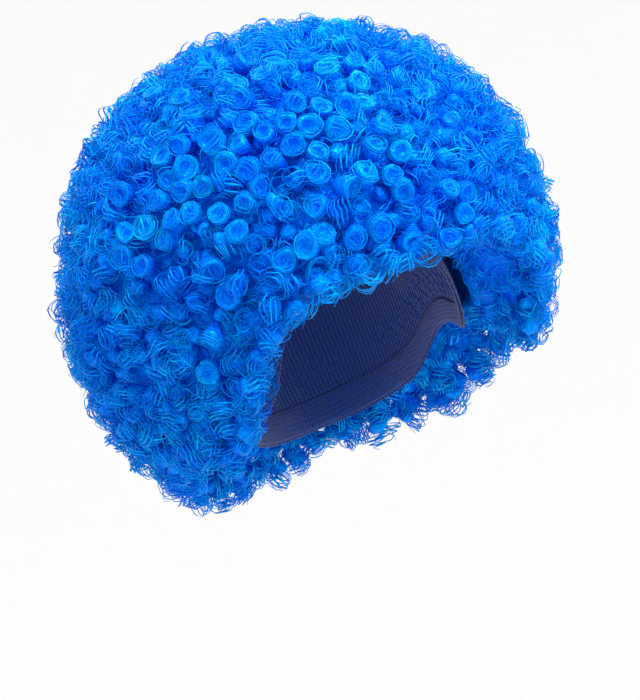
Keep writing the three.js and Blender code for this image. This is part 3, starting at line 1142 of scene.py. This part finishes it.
for name, nodes_there, start, end, droop in ZONES:
    parts = []
    for depth, spacing, tilt, smallest, largest, seed, *counts in HAIR_LAYERS:
        some_neat = counts[0] > 0 and start < TURNED_IN
        layer = sewn_layer(
            name,
            depth,
            LEAST_TUCK + (depth - TUCK_FROM) * TUCK_MORE,
            (start, end),
            (neat_bodies, ruffled_bodies),
            counts,
            Spacing=spacing,
            Tilt=tilt,
            Droop=droop,
            Smallest=smallest,
            Largest=largest,
            Neat_side=NEAT_SIDE,
            Neat_share=NEAT_SHARE if some_neat else NONE_NEAT,
            Seed=seed,
        )
        parts.append(layer)
    zone = (start, end)
    parts.append(sewn_layer(name, FRIZZ_DEPTH, FRIZZ_TUCK, zone, (frizz, frizz), (0, 0, 0, 0), **FRIZZ_LIE))
    finished(joined(name, parts), "hair", *nodes_there)

# The studio: a plain pale floor that curves up all round, white air, and soft light from above and
# in front, with one small lamp for the glints.
FLOOR_LEVEL = cad_box[0][2] - 1.5
FLOOR_FLAT = 4.5
FLOOR_INNER = FLOOR_FLAT * 0.3  # the radius of the floor's first ring
COVE_RADIUS = 4.0
COVE_STEPS = 12
FLOOR_STATIONS = 96

cove = [(FLOOR_INNER, 0.0), (FLOOR_FLAT, 0.0)]
for step in range(1, COVE_STEPS + 1):
    bend = math.radians(90 * step / COVE_STEPS)
    cove.append((FLOOR_FLAT + COVE_RADIUS * math.sin(bend), COVE_RADIUS * (1 - math.cos(bend))))
floor_points = [(0, 0, FLOOR_LEVEL)]
for radius, height in cove:
    for i in range(FLOOR_STATIONS):
        turn = 2 * math.pi * i / FLOOR_STATIONS
        floor_points.append((radius * math.cos(turn), radius * math.sin(turn), FLOOR_LEVEL + height))
floor_faces = [(0, 1 + i, 1 + (i + 1) % FLOOR_STATIONS) for i in range(FLOOR_STATIONS)]
for ring in range(len(cove) - 1):
    a, b = 1 + ring * FLOOR_STATIONS, 1 + (ring + 1) * FLOOR_STATIONS
    for i in range(FLOOR_STATIONS):
        j = (i + 1) % FLOOR_STATIONS
        floor_faces.append((a + i, b + i, b + j, a + j))
floor = object_of("studio_floor", floor_points, floor_faces)
floor.data.shade_smooth()
floor_material, nodes, links, surface = new_material("pale floor")
surface.inputs["Base Color"].default_value = (0.85, 0.85, 0.85, 1)
surface.inputs["Roughness"].default_value = 0.9
floor.data.materials.append(floor_material)

world = bpy.data.worlds.new("studio air")
bpy.context.scene.world = world
world.use_nodes = True
world.node_tree.nodes["Background"].inputs["Color"].default_value = (1, 1, 1, 1)
world.node_tree.nodes["Background"].inputs["Strength"].default_value = 1.15


LIT = Vector((0, 0, -0.06))


def soft_light(name, place, size, power):
    """A square soft box at a place, turned to the wig."""
    lamp = bpy.data.lights.new(name, "AREA")
    lamp.size = size
    lamp.energy = power
    holder = bpy.data.objects.new(name, lamp)
    bpy.context.scene.collection.objects.link(holder)
    holder.location = place
    holder.rotation_euler = (LIT - Vector(place)).to_track_quat("-Z", "Y").to_euler()


soft_light("key", (1.3, -1.5, 1.5), 1.8, 58)
soft_light("sparkle", (0.1, -1.4, 1.7), 0.2, 16)
soft_light("top", (0.3, 0.2, 1.9), 0.8, 10)

# The camera: on the wig's own right, about level with its middle, and turned so that the wig leans to
# its own right
VIEW_AZIMUTH = -22.0
VIEW_HEIGHT = 2.0
LEAN = 21.5
DISTANCE = 1.9
AIM = Vector((0, 0, -90 * MM))  # the middle of the hollow
AIM_PIXEL = (325, 313)
PIXEL = 0.63 * MM  # at the middle of the hollow
PICTURE = (640, 700)
SENSOR = 24

aside, above = math.radians(VIEW_AZIMUTH), math.radians(VIEW_HEIGHT)
forward = Vector(
    (-math.sin(aside) * math.cos(above), math.cos(aside) * math.cos(above), -math.sin(above))
)
level_right = forward.cross(Vector((0, 0, 1))).normalized()
level_up = level_right.cross(forward)
lean = math.radians(LEAN)
right = level_right * math.cos(lean) - level_up * math.sin(lean)
up = level_right * math.sin(lean) + level_up * math.cos(lean)
shift_right = (PICTURE[0] / 2 - AIM_PIXEL[0]) * PIXEL
shift_up = (AIM_PIXEL[1] - PICTURE[1] / 2) * PIXEL
eye = bpy.data.cameras.new("camera")
eye.sensor_fit = "VERTICAL"
eye.sensor_height = SENSOR
eye.lens = SENSOR * DISTANCE / (PICTURE[1] * PIXEL)
eye.clip_end = 60
camera = bpy.data.objects.new("camera", eye)
bpy.context.scene.collection.objects.link(camera)
camera.matrix_world = Matrix.Translation(
    AIM - forward * DISTANCE + right * shift_right + up * shift_up
) @ Matrix((right, up, -forward)).transposed().to_4x4()
bpy.context.scene.camera = camera
bpy.context.scene.view_settings.view_transform = "Standard"
